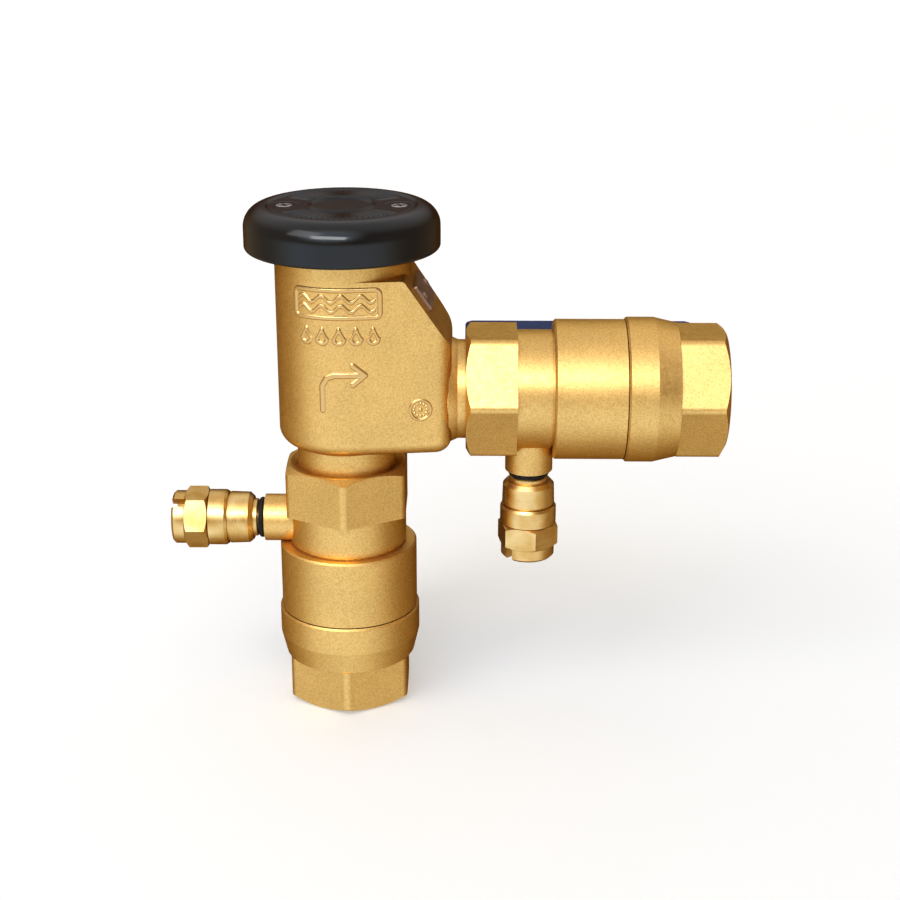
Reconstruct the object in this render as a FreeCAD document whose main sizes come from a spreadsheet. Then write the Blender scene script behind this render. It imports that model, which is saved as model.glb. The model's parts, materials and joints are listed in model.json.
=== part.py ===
"""Pressure vacuum breaker, 1 inch: cast body with check valve and air inlet, two ball valves, two test cocks.

Frame: origin at the centre of the inlet end face, +Z up along the inlet axis, +X towards the outlet,
handles on +Y. Millimetres. A ball valve is drawn in its own frame, +Z from its body-side end to its pipe
end, +Y up the stem and +X out of the test cock, and is built twice.
"""

import FreeCAD, Part
import math
import os

import Sketcher

V = FreeCAD.Vector
Placement = FreeCAD.Placement

DIMENSIONS = {
    # threads: plain cylinders near the pitch radius of a 1 inch pipe thread
    "thread_bore_rad": 16.1,
    "thread_depth": 16.5,
    "neck_fit_rad": 16.05,
    "neck_fit_len": 15.0,
    "neck_rad": 16.9,
    "thread_mouth": 2.6,
    "thread_mouth_rad": 19.4,
    "waterway_rad": 12.4,
    # ball valve, lengths from the body-side end
    "hex_flats": 41.0,
    "hex_core_rad": 19.5,
    "hex_end": 17.3,
    "hex_corner_round": 2.6,
    "collar_end": 29.65,
    "collar_rad": 20.3,
    "collar_groove": 0.7,
    "barrel_end": 53.5,
    "barrel_rad": 23.9,
    "barrel_chamfer": 0.6,
    "seam_gap": 0.35,
    "ring_end": 63.5,
    "ring_rad": 24.7,
    "taper_end": 69.0,
    "band_end": 71.2,
    "band_rad": 23.4,
    "band_end_rad": 22.9,
    "valve_len": 87.7,
    "ball_at": 41.6,
    "ball_rad": 18.6,
    "port_rad": 12.2,
    "cavity_rad": 19.1,
    "spigot_rad": 20.8,
    "spigot_bore_rad": 19.2,
    "spigot_start": 49.6,
    "oring_shelf": 47.8,
    "seat_rad": 16.6,
    "seat_near": 10.6,
    "seat_far": 16.6,
    "seat_gap": 0.15,
    "oring_wire": 0.85,
    "face_gap": 0.05,
    "through": 60.0,
    # stem, gland and handle, heights from the valve axis
    "boss_rad": 9.6,
    "boss_top": 31.0,
    "stem_rad": 4.8,
    "stem_flange_rad": 6.0,
    "stem_flange_low": 19.0,
    "stem_flange_top": 20.6,
    "stem_square": 6.6,
    "tang_width": 6.0,
    "tang_len": 10.2,
    "tang_low": 14.6,
    "stem_top": 49.5,
    "square_short": 0.4,
    "stud_rad": 3.0,
    "running_gap": 0.06,
    "shelf_top": 21.5,
    "packing_low": 24.5,
    "packing_top": 28.6,
    "packing_rad": 7.6,
    "gland_flats": 16.0,
    "gland_top": 35.0,
    "handle_low": 36.0,
    "handle_seat": 43.2,
    "handle_hub_top": 52.0,
    "handle_hub_rad": 9.5,
    "handle_pocket_rad": 6.2,
    "handle_top": 61.5,
    "handle_arm_low": 48.5,
    "handle_half_len": 42.0,
    "handle_width": 14.0,
    "handle_round": 1.6,
    "nut_flats": 10.0,
    "nut_thick": 4.0,
    # test cock, distances from the valve axis
    "cock_at": 21.9,
    "cock_boss_rad": 8.2,
    "cock_boss_top": 28.9,
    "cock_shank_start": 18.6,
    "cock_shank_rad": 6.1,
    "cock_washer_wire": 1.05,
    "cock_oring_wire": 0.6,
    "cock_neck_rad": 5.0,
    "cock_flange_start": 31.3,
    "cock_flange_rad": 6.6,
    "cock_front_start": 33.0,
    "cock_front_rad": 9.1,
    "cock_front_bevel": 1.4,
    "cock_rear_start": 41.8,
    "cock_rear_rad": 9.75,
    "cock_rear_end": 48.2,
    "cock_groove": 0.8,
    "cock_socket_start": 39.0,
    "cock_socket_rad": 5.3,
    "cock_gap": 0.3,
    "cock_hex_end": 56.7,
    "cock_hex_flats": 18.8,
    "cock_tip_rad": 9.3,
    "cock_tip": 61.0,
    "cock_outlet_rad": 6.1,
    "cock_outlet_depth": 10.0,
    "cock_water_rad": 2.4,
    "cock_slot_width": 3.2,
    "cock_slot_depth": 5.0,
    "cock_slot_angle": 60.0,
    "inlet_plug_turn": -7.0,
    "outlet_plug_turn": -13.0,
    # body casting
    "inlet_valve_top": 87.7,
    "outlet_valve_start": 41.1,
    "outlet_axis": 113.5,
    "body_low": 95.6,
    "body_top": 166.0,
    "body_rad": 22.8,
    "body_right": 36.4,
    "body_right_half": 18.2,
    "body_corner_round": 5.8,
    "body_low_round": 5.5,
    "shoulder_start": 130.3,
    "shoulder_bend": 9.0,
    "shoulder_head": 21.0,
    "shoulder_top": 156.2,
    "shoulder_round": 2.0,
    "chamber_rad": 18.3,
    "chamber_floor": 99.5,
    "flare_rad": 18.2,
    "flare_len": 3.0,
    "plate_width": 22.0,
    "plate_len": 10.3,
    "plate_thick": 1.0,
    "plate_round": 1.2,
    "plate_drop": 10.0,
    "pin_rad": 0.9,
    "pin_len": 4.0,
    "pin_head_rad": 1.7,
    "pin_head": 0.7,
    "pin_spread": 8.2,
    # check valve
    "check_seat_rad": 14.95,
    "check_seat_low": 96.0,
    "check_seat_top": 101.0,
    "check_lip_top": 101.8,
    "check_disc_low": 101.9,
    "check_disc_top": 104.1,
    "check_disc_rad": 14.2,
    "check_plate_top": 106.6,
    "check_plate_rad": 15.6,
    "check_stem_rad": 3.0,
    "check_stem_top": 131.5,
    "check_spring_rad": 7.0,
    "check_wire": 0.6,
    "guide_low": 125.0,
    "guide_top": 131.0,
    "guide_arm_low": 127.0,
    # air inlet
    "float_low": 134.0,
    "float_cup_rad": 11.5,
    "float_plate_low": 145.6,
    "float_plate_top": 149.2,
    "float_plate_rad": 15.6,
    "float_disc_top": 151.2,
    "float_disc_rad": 15.0,
    "float_hub_rad": 6.2,
    "float_stem_rad": 3.0,
    "float_stem_top": 166.0,
    "float_spring_rad": 4.7,
    "float_wire": 0.4,
    "air_bore_rad": 12.0,
    "air_lip_low": 156.4,
    "bonnet_low": 157.2,
    "bonnet_rad": 20.3,
    "bonnet_flange_rad": 23.4,
    "bonnet_flange_top": 168.6,
    "bonnet_arm_low": 160.5,
    "post_rad": 3.6,
    "post_top": 172.2,
    # canopy
    "canopy_rad": 32.65,
    "canopy_low": 162.8,
    "canopy_top": 177.4,
    "canopy_wall": 2.4,
    "canopy_round": 7.0,
    "canopy_low_round": 1.4,
    "canopy_dish_rad": 25.2,
    "canopy_dish": 0.5,
    "screw_spread": 19.0,
    "screw_head_rad": 3.5,
    "screw_recess_rad": 4.1,
    "screw_recess": 2.0,
    "screw_rad": 1.9,
}

COCK_TURN = FreeCAD.Rotation(V(0, 1, 0), 90)
STEM_TURN = FreeCAD.Rotation(V(1, 0, 0), -90)
OUTWARD = FreeCAD.Rotation(V(0, 1, 0), 90)
UPRIGHT = FreeCAD.Rotation()
HEX_TURN = FreeCAD.Rotation(V(0, 0, 1), 30)
SUBPARTS = []

doc = FreeCAD.newDocument("vacuum_breaker")
sheet = doc.addObject("Spreadsheet::Sheet", "Dimensions")
for row, (alias, size) in enumerate(DIMENSIONS.items(), start=1):
    sheet.set(f"A{row}", alias)
    sheet.set(f"B{row}", str(size))
    sheet.setAlias(f"B{row}", alias)
doc.recompute()


def value(text):
    """The number that a sum such as 'cock_tip - 1.5' stands for."""
    total, sign = 0.0, 1.0
    for word in str(text).split():
        if word in ("+", "-"):
            sign = 1.0 if word == "+" else -1.0
        else:
            total += sign * float(DIMENSIONS.get(word, word))
    return total


def cells(text):
    """The same sum as an expression on the sheet's cells."""
    words = str(text).split()
    return " ".join(f"Dimensions.{word}" if word in DIMENSIONS else word for word in words)


class Piece:
    """One sub-part: a PartDesign body made of turned profiles and primitives that add or cut."""

    def __init__(self, label):
        self.body = doc.addObject("PartDesign::Body", label)
        self.body.Label = label
        self.made = 0

    def feature(self, kind):
        self.made += 1
        return self.body.newObject(f"PartDesign::{kind}", f"{self.body.Name}_{kind}{self.made}")

    def sketch(self, plane):
        self.made += 1
        drawing = self.body.newObject("Sketcher::SketchObject", f"{self.body.Name}_Sketch{self.made}")
        support = [p for p in self.body.Origin.OriginFeatures if p.Role == plane][0]
        drawing.AttachmentSupport = [(support, "")]
        drawing.MapMode = "FlatFace"
        return drawing

    def outline(self, points, plane):
        """A closed outline of straight sides, each corner tied to the sheet; coordinates may be negative."""
        drawing = self.sketch(plane)
        spots = [V(value(x), value(y), 0) for x, y in points]
        for start, end in zip(spots, spots[1:] + spots[:1]):
            drawing.addGeometry(Part.LineSegment(start, end))
        count = len(spots)
        for i, (x, y) in enumerate(points):
            drawing.addConstraint(Sketcher.Constraint("Coincident", i, 2, (i + 1) % count, 1))
            self.tie(drawing, "DistanceX", i, x, -2)
            self.tie(drawing, "DistanceY", i, y, -1)
        return drawing

    def tie(self, drawing, kind, corner, text, axis):
        """Hold one coordinate of a corner: on the axis where it is zero, else at a distance from the origin."""
        size = value(text)
        if abs(size) < 1e-9:
            drawing.addConstraint(Sketcher.Constraint("PointOnObject", corner, 1, axis))
            return
        ends = (-1, 1, corner, 1) if size > 0 else (corner, 1, -1, 1)
        number = drawing.addConstraint(Sketcher.Constraint(kind, *ends, abs(size)))
        name = f"{kind}{corner}"
        drawing.renameConstraint(number, name)
        sign = "" if size > 0 else "-1 * "
        drawing.setExpression(f"Constraints.{name}", f"{sign}({cells(text)})")

    def turned(self, points, cut=False):
        """Turn an outline of (radius, height) corners about Z, as a solid or as a cut."""
        drawing = self.outline(points, "XZ_Plane")
        turn = self.feature("Groove" if cut else "Revolution")
        turn.Profile = drawing
        turn.ReferenceAxis = (drawing, ["V_Axis"])
        turn.Angle = 360.0
        return self

    def padded(self, points, plane, width):
        """An outline drawn on a plane and padded half its width to each side."""
        drawing = self.outline(points, plane)
        pad = self.feature("Pad")
        pad.Profile = drawing
        pad.Midplane = True
        pad.setExpression("Length", cells(width))
        return self

    def primitive(self, kind, cut, at, turn, **sizes):
        shape = self.feature(("Subtractive" if cut else "Additive") + kind)
        for name, text in sizes.items():
            shape.setExpression(name, text if "(" in str(text) else cells(text))
        shape.Placement = Placement(V(*[value(c) for c in at]), turn)
        for axis, text in zip("xyz", at):
            shape.setExpression(f"Placement.Base.{axis}", cells(text))
        return shape

    def rod(self, radius, length, at=(0, 0, 0), turn=UPRIGHT, cut=False):
        self.primitive("Cylinder", cut, at, turn, Radius=radius, Height=length)
        return self

    def hexagon(self, flats, length, low, corner_round=None):
        """A hexagonal prism with corners on +Y and -Y, its long edges rounded if a radius is given."""
        prism = self.primitive("Prism", False, (0, 0, low), HEX_TURN, Height=length,
                               Circumradius=f"({cells(flats)}) / sqrt(3)")
        prism.Polygon = 6
        if corner_round is not None:
            corner = value(flats) / math.sqrt(3)
            self.rounded(corner_round, lambda at, edge: abs(math.hypot(at.x, at.y) - corner) < 0.01)
        return self

    def block(self, length, width, height, low, about=0.0, cut=False):
        """A block centred on the Z axis from the height low, turned about Z."""
        turn = FreeCAD.Rotation(V(0, 0, 1), about)
        half = turn.multVec(V(value(length) / 2, value(width) / 2, 0))
        at = (-half.x, -half.y, low)
        self.primitive("Box", cut, at, turn, Length=length, Width=width, Height=height)
        return self

    def ball(self, radius, at, cut=False):
        self.primitive("Sphere", cut, at, UPRIGHT, Radius=radius)
        return self

    def ring(self, radius, wire, height):
        self.primitive("Torus", False, (0, 0, height), UPRIGHT, Radius1=radius, Radius2=wire)
        return self

    def rounded(self, radius, wanted):
        """Round the edges whose middle point satisfies the test wanted."""
        doc.recompute()
        last = self.body.Tip
        names = []
        for i, edge in enumerate(last.Shape.Edges, start=1):
            middle = edge.valueAt((edge.FirstParameter + edge.LastParameter) / 2)
            if wanted(middle, edge):
                names.append(f"Edge{i}")
        fillet = self.feature("Fillet")
        fillet.Base = (last, names)
        fillet.setExpression("Radius", cells(radius))
        return self

    def done(self, place=None):
        if place is not None:
            self.body.Placement = place
        SUBPARTS.append(self.body)
        return self.body


def corner_cut(flats, end, depth, inward):
    """The ring-shaped wedge that chamfers a hexagon's corners at its end face, at 30 degrees."""
    corner = value(flats) / math.sqrt(3) + 0.5
    reach = corner - value(flats) / 2 + value(depth)
    tip = f"{end} {'+' if inward > 0 else '-'} {reach * math.tan(math.radians(30)):.3f}"
    return [(f"{corner - reach:.3f}", end), (f"{corner:.3f}", end), (f"{corner:.3f}", tip)]


def at_ball(place):
    """The stem's frame: +Z up the stem from the ball's centre."""
    return place.multiply(Placement(V(0, 0, value("ball_at")), STEM_TURN))


def at_cock(place):
    """The test cock's frame: +Z out of the cock from the valve's axis."""
    return place.multiply(Placement(V(0, 0, value("cock_at")), COCK_TURN))


def valve_casting(name, place):
    casting = Piece(f"{name}_valve_body")
    casting.turned([
        (0, 0), ("hex_core_rad", 0), ("hex_core_rad", "hex_end"), ("collar_rad", "hex_end"),
        ("collar_rad", "collar_end - collar_groove"), ("collar_rad - collar_groove", "collar_end - collar_groove"),
        ("collar_rad - collar_groove", "collar_end"), ("barrel_rad - barrel_chamfer", "collar_end"),
        ("barrel_rad", "collar_end + barrel_chamfer"), ("barrel_rad", "barrel_end"), (0, "barrel_end"),
    ])
    casting.hexagon("hex_flats", "hex_end", 0, "hex_corner_round")
    casting.turned(corner_cut("hex_flats", "0", "0.2", 1), cut=True)
    casting.rod("cock_boss_rad", "cock_boss_top", (0, 0, "cock_at"), COCK_TURN)
    casting.rod("boss_rad", "boss_top", (0, 0, "ball_at"), STEM_TURN)
    casting.turned([
        (0, 0), ("thread_mouth_rad", 0), ("thread_bore_rad", "thread_mouth"), ("thread_bore_rad", "thread_depth"),
        ("waterway_rad", "thread_depth"), ("waterway_rad", "ball_at - seat_far"),
        ("seat_rad + running_gap", "ball_at - seat_far"), ("seat_rad + running_gap", "ball_at - seat_near"),
        ("cavity_rad", "ball_at - seat_near"), ("cavity_rad", "oring_shelf"),
        ("spigot_rad + running_gap", "oring_shelf"), ("spigot_rad + running_gap", "barrel_end"),
        (0, "barrel_end"),
    ], cut=True)
    casting.rod("cock_water_rad", "cock_boss_top", (0, 0, "cock_at"), COCK_TURN, cut=True)
    casting.rod("cock_shank_rad + running_gap", "cock_boss_top", ("cock_shank_start", 0, "cock_at"), COCK_TURN,
                cut=True)
    casting.rod("stem_flange_rad + running_gap", "shelf_top", (0, 0, "ball_at"), STEM_TURN, cut=True)
    casting.rod("stem_rad + running_gap", "boss_top + 1", (0, 0, "ball_at"), STEM_TURN, cut=True)
    casting.rod("packing_rad", "boss_top", (0, "packing_low", "ball_at"), STEM_TURN, cut=True)
    casting.done(place)


def end_adapter(name, place):
    adapter = Piece(f"{name}_end_adapter")
    adapter.turned([
        (0, "spigot_start"), ("spigot_rad", "spigot_start"), ("spigot_rad", "barrel_end + seam_gap"),
        ("ring_rad - barrel_chamfer", "barrel_end + seam_gap"),
        ("ring_rad", "barrel_end + seam_gap + barrel_chamfer"),
        ("ring_rad", "ring_end"), ("band_rad", "taper_end"), ("band_end_rad", "band_end"),
        ("hex_core_rad", "band_end"), ("hex_core_rad", "valve_len"), (0, "valve_len"),
    ])
    adapter.hexagon("hex_flats", "valve_len - band_end", "band_end", "hex_corner_round")
    adapter.turned(corner_cut("hex_flats", "valve_len", "0.6", -1), cut=True)
    adapter.turned([
        (0, "spigot_start"), ("spigot_bore_rad", "spigot_start"), ("spigot_bore_rad", "ball_at + seat_near"),
        ("seat_rad + running_gap", "ball_at + seat_near"), ("seat_rad + running_gap", "ball_at + seat_far"),
        ("waterway_rad", "ball_at + seat_far"), ("waterway_rad", "valve_len - thread_depth"),
        ("thread_bore_rad", "valve_len - thread_depth"), ("thread_bore_rad", "valve_len"), (0, "valve_len"),
    ], cut=True)
    adapter.done(place)
    seal = Piece(f"{name}_adapter_oring")
    seal.ring("spigot_rad - oring_wire - face_gap", "oring_wire", "spigot_start - oring_wire - face_gap")
    seal.done(place)


def ball_and_seats(name, place):
    for side, low in (("upstream", "ball_at - seat_far"), ("downstream", "ball_at + seat_near")):
        seat = Piece(f"{name}_seat_{side}")
        seat.turned([
            ("port_rad", low), ("seat_rad", low), ("seat_rad", f"{low} + seat_far - seat_near"),
            ("port_rad", f"{low} + seat_far - seat_near"),
        ])
        seat.ball("ball_rad + seat_gap", (0, 0, "ball_at"), cut=True)
        seat.done(place)
    ball = Piece(f"{name}_ball")
    ball.ball("ball_rad", (0, 0, 0))
    ball.rod("port_rad", "through", (0, "ball_rad + 1", 0), FreeCAD.Rotation(V(1, 0, 0), 90), cut=True)
    ball.block("tang_width + running_gap", "through", "ball_rad", "tang_low", cut=True)
    ball.done(at_ball(place))


def stem_and_gland(name, place):
    stem = Piece(f"{name}_stem")
    stem.rod("stem_flange_rad", "stem_flange_top - stem_flange_low", (0, 0, "stem_flange_low"))
    stem.block("tang_width", "tang_len", "stem_flange_low - tang_low", "tang_low")
    stem.rod("stem_rad", "handle_low - stem_flange_top", (0, 0, "stem_flange_top"))
    stem.block("stem_square", "stem_square", "handle_seat - handle_low - square_short", "handle_low")
    stem.rod("stud_rad", "stem_top - handle_seat + square_short", (0, 0, "handle_seat - square_short"))
    stem.done(at_ball(place))
    washer = Piece(f"{name}_thrust_washer")
    washer.turned([
        ("stem_rad + running_gap", "stem_flange_top + face_gap"),
        ("stem_flange_rad", "stem_flange_top + face_gap"),
        ("stem_flange_rad", "shelf_top"), ("stem_rad + running_gap", "shelf_top"),
    ])
    washer.done(at_ball(place))
    packing = Piece(f"{name}_stem_packing")
    packing.turned([
        ("stem_rad + running_gap", "packing_low"), ("packing_rad", "packing_low"),
        ("packing_rad", "packing_top"), ("stem_rad + running_gap", "packing_top"),
    ])
    packing.done(at_ball(place))
    gland = Piece(f"{name}_gland_nut")
    gland.rod("packing_rad - running_gap", "boss_top + face_gap - packing_top", (0, 0, "packing_top"))
    gland.hexagon("gland_flats", "gland_top - boss_top - face_gap", "boss_top + face_gap")
    gland.turned(corner_cut("gland_flats", "gland_top", "0.3", -1), cut=True)
    gland.rod("stem_rad + running_gap", "through", cut=True)
    gland.done(at_ball(place))


def handle(name, place):
    lever = Piece(f"{name}_handle")
    right = [
        ("handle_hub_rad - 0.9", "handle_low"), ("handle_hub_rad + 2.5", "handle_low + 9"),
        ("handle_half_len - 5", "handle_arm_low"), ("handle_half_len", "handle_arm_low + 3"),
        ("handle_half_len", "handle_top - 2"), ("handle_half_len - 2", "handle_top"),
    ]
    left = [(f"{-value(reach):.3f}", height) for reach, height in reversed(right)]
    lever.padded(right + left, "YZ_Plane", "handle_width")
    lever.rounded("handle_round", lambda at, edge: abs(abs(at.x) - value("handle_width") / 2) < 0.01
                  and at.z > value("handle_low") + 0.01)
    lever.rod("handle_hub_rad", "handle_hub_top - handle_low", (0, 0, "handle_low"))
    lever.rod("handle_pocket_rad", "handle_top", (0, 0, "handle_seat"), cut=True)
    lever.block("stem_square + running_gap + running_gap", "stem_square + running_gap + running_gap",
                "handle_top", "handle_low - 1", cut=True)
    lever.done(at_ball(place))
    nut = Piece(f"{name}_handle_nut")
    nut.hexagon("nut_flats", "nut_thick", "handle_seat + face_gap")
    nut.turned(corner_cut("nut_flats", "handle_seat + face_gap + nut_thick", "0.2", -1), cut=True)
    nut.rod("stud_rad + running_gap", "through", cut=True)
    nut.done(at_ball(place))


def test_cock(name, place):
    cock = Piece(f"{name}_testcock_body")
    cock.turned([
        ("cock_water_rad", "cock_shank_start"), ("cock_shank_rad", "cock_shank_start"),
        ("cock_shank_rad", "cock_boss_top"), ("cock_neck_rad", "cock_boss_top"),
        ("cock_neck_rad", "cock_flange_start"), ("cock_flange_rad - 0.4", "cock_flange_start"),
        ("cock_flange_rad", "cock_flange_start + 0.4"), ("cock_flange_rad", "cock_front_start"),
        ("cock_front_rad - cock_front_bevel", "cock_front_start"),
        ("cock_front_rad - 0.2", "cock_front_start + cock_front_bevel"),
        ("cock_front_rad", "cock_rear_start - cock_groove"), ("cock_rear_rad - 1.4", "cock_rear_start - cock_groove"),
        ("cock_rear_rad - 1.4", "cock_rear_start"), ("cock_rear_rad - 0.5", "cock_rear_start"),
        ("cock_rear_rad", "cock_rear_start + 0.9"),
        ("cock_rear_rad", "cock_rear_end"), ("cock_socket_rad", "cock_rear_end"),
        ("cock_socket_rad", "cock_socket_start"), ("cock_water_rad", "cock_socket_start"),
    ])
    cock.done(at_cock(place))
    washer = Piece(f"{name}_testcock_washer")
    washer.ring("cock_neck_rad + cock_washer_wire", "cock_washer_wire",
                "cock_boss_top + cock_washer_wire + running_gap")
    washer.done(at_cock(place))
    plug = Piece(f"{name}_testcock_plug")
    plug.turned([
        (0, "cock_socket_start + 0.4"), ("cock_socket_rad - running_gap", "cock_socket_start + 0.4"),
        ("cock_socket_rad - running_gap", "cock_rear_end + cock_gap"),
        ("cock_tip_rad", "cock_rear_end + cock_gap"), ("cock_tip_rad", "cock_tip - 0.8"),
        ("cock_tip_rad - 0.8", "cock_tip"), (0, "cock_tip"),
    ])
    plug.hexagon("cock_hex_flats", "cock_hex_end - cock_rear_end - cock_gap", "cock_rear_end + cock_gap")
    plug.turned(corner_cut("cock_hex_flats", "cock_hex_end", "0.2", -1), cut=True)
    plug.turned(corner_cut("cock_hex_flats", "cock_rear_end + cock_gap", "0.2", 1), cut=True)
    plug.turned([
        ("cock_socket_rad - 1.3", "cock_socket_start + 4"), ("cock_socket_rad + 1", "cock_socket_start + 4"),
        ("cock_socket_rad + 1", "cock_socket_start + 5.4"), ("cock_socket_rad - 1.3", "cock_socket_start + 5.4"),
    ], cut=True)
    plug.rod("cock_water_rad", "cock_tip + 1", cut=True)
    plug.rod("cock_outlet_rad", "cock_tip", (0, 0, "cock_tip - cock_outlet_depth"), cut=True)
    plug.block("cock_slot_width", "through", "cock_tip", "cock_tip - cock_slot_depth",
               about=value("cock_slot_angle"), cut=True)
    turn = Placement(V(), FreeCAD.Rotation(V(0, 0, 1), value(f"{name}_plug_turn")))
    plug.done(at_cock(place).multiply(turn))
    seal = Piece(f"{name}_testcock_oring")
    seal.ring("cock_socket_rad - cock_oring_wire - 0.09", "cock_oring_wire", "cock_socket_start + 4.7")
    seal.done(at_cock(place))


def ball_valve(name, place):
    valve_casting(name, place)
    end_adapter(name, place)
    ball_and_seats(name, place)
    stem_and_gland(name, place)
    handle(name, place)
    test_cock(name, place)


def bind(drawing, ties):
    """Drive a sketch's measures from the sheet: each is a constraint kind, what it holds, and a sum of words."""
    for number, (kind, ends, text) in enumerate(ties):
        added = drawing.addConstraint(Sketcher.Constraint(kind, *ends, value(text)))
        name = f"measure{number}"
        drawing.renameConstraint(added, name)
        drawing.setExpression(f"Constraints.{name}", cells(text))


def body_casting():
    casting = Piece("body")
    body_plan(casting)
    right, half = value("body_right"), value("body_right_half")
    casting.rounded("body_corner_round",
                    lambda at, edge: at.x > right - 0.01 and abs(abs(at.y) - half) < 0.01)
    shoulder_cut(casting)
    low = value("body_low")
    casting.rounded("body_low_round", lambda at, edge: abs(at.z - low) < 0.01)
    casting.rod("body_rad", "body_top - body_low - 8", (0, 0, "body_low + 8"))
    necks_and_chamber(casting)
    for side in (-1, 1):
        hole = plate_place(side * value("pin_spread"), -value("pin_len"))
        casting.rod("pin_rad + running_gap", "pin_len + pin_len", hole.Base, hole.Rotation, cut=True)
    casting.done()


def body_plan(casting):
    """The block: a half round about the inlet axis whose sides run straight to a narrower right face."""
    plan = casting.sketch("XY_Plane")
    rad, right, half = value("body_rad"), value("body_right"), value("body_right_half")
    touch = math.atan2(half, right) + math.acos(rad / math.hypot(right, half))
    back = V(rad * math.cos(touch), rad * math.sin(touch), 0)
    front = V(back.x, -back.y, 0)
    plan.addGeometry(Part.Arc(back, V(-rad, 0, 0), front))
    for start, end in ((front, V(right, -half, 0)), (V(right, -half, 0), V(right, half, 0)),
                       (V(right, half, 0), back)):
        plan.addGeometry(Part.LineSegment(start, end))
    plan.addConstraint([
        Sketcher.Constraint("Coincident", 0, 3, -1, 1),
        Sketcher.Constraint("Tangent", 0, 2, 1, 1),
        Sketcher.Constraint("Coincident", 1, 2, 2, 1),
        Sketcher.Constraint("Coincident", 2, 2, 3, 1),
        Sketcher.Constraint("Tangent", 3, 2, 0, 1),
        Sketcher.Constraint("Vertical", 2),
    ])
    bind(plan, (("Radius", (0,), "body_rad"), ("DistanceX", (-1, 1, 1, 2), "body_right"),
                ("DistanceY", (1, 2, -1, 1), "body_right_half"), ("DistanceY", (-1, 1, 2, 2), "body_right_half")))
    plan.AttachmentOffset = Placement(V(0, 0, value("body_low")), UPRIGHT)
    plan.setExpression("AttachmentOffset.Base.z", cells("body_low"))
    pad = casting.feature("Pad")
    pad.Profile = plan
    pad.setExpression("Length", cells("shoulder_top - body_low"))


def shoulder_frame():
    """Where the sloping shoulder meets its lower bend, where it ends, and its angle above the level."""
    start, bend = value("shoulder_start"), value("shoulder_bend")
    centre = V(value("body_right") - bend, 0, start)
    head = V(value("shoulder_head"), 0, value("shoulder_top"))
    reach = head - centre
    lean = math.atan2(reach.z, reach.x) - math.acos(bend / reach.Length)
    foot = centre + V(bend * math.cos(lean), 0, bend * math.sin(lean))
    return foot, head, lean


def shoulder_cut(casting):
    """Cut the block's upper right side back to a slope that starts with a bend tangent to the right face."""
    foot, head, lean = shoulder_frame()
    start = V(value("body_right"), value("shoulder_start"), 0)
    centre = start - V(value("shoulder_bend"), 0, 0)
    middle = centre + V(math.cos(lean / 2), math.sin(lean / 2), 0) * value("shoulder_bend")
    low, high = V(foot.x, foot.z, 0), V(head.x, head.z, 0)
    over, out = V(start.x + 20, high.y, 0), V(start.x + 20, start.y, 0)
    drawing = casting.sketch("XZ_Plane")
    drawing.addGeometry(Part.Arc(start, middle, low))
    for begin, end in ((low, high), (high, over), (over, out), (out, start)):
        drawing.addGeometry(Part.LineSegment(begin, end))
    drawing.addConstraint([
        Sketcher.Constraint("Tangent", 0, 2, 1, 1),
        Sketcher.Constraint("Coincident", 1, 2, 2, 1),
        Sketcher.Constraint("Coincident", 2, 2, 3, 1),
        Sketcher.Constraint("Coincident", 3, 2, 4, 1),
        Sketcher.Constraint("Coincident", 4, 2, 0, 1),
        Sketcher.Constraint("Horizontal", 2),
        Sketcher.Constraint("Vertical", 3),
        Sketcher.Constraint("Horizontal", 4),
        Sketcher.Constraint("Horizontal", 0, 3, 0, 1),
    ])
    bind(drawing, (("Radius", (0,), "shoulder_bend"), ("DistanceX", (-1, 1, 0, 1), "body_right"),
                   ("DistanceY", (-1, 1, 0, 1), "shoulder_start"), ("DistanceX", (-1, 1, 1, 2), "shoulder_head"),
                   ("DistanceY", (-1, 1, 1, 2), "shoulder_top"), ("DistanceX", (-1, 1, 2, 2), "body_right + 20")))
    doc.recompute()
    before = casting.body.Shape.Volume
    pocket = casting.feature("Pocket")
    pocket.Profile = drawing
    pocket.Midplane = True
    pocket.setExpression("Length", cells("body_rad + body_rad + 4"))
    doc.recompute()
    if casting.body.Shape.Volume >= before:
        raise RuntimeError("the shoulder cut removed nothing")
    casting.rounded("shoulder_round", lambda at, edge: abs(at.x - head.x) < 0.01 and abs(at.z - head.z) < 0.01)


def plate_place(across, lift):
    """A placement on the shoulder's slope: +Z square to it, +Y as the frame's, shifted across and lifted."""
    foot, head, lean = shoulder_frame()
    down = (foot - head).normalize()
    normal = V(math.cos(lean), 0, math.sin(lean))
    spot = head + down * value("plate_drop") + normal * lift + V(0, across, 0)
    return Placement(spot, FreeCAD.Rotation(V(0, 1, 0), 90 - math.degrees(lean)))


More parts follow.
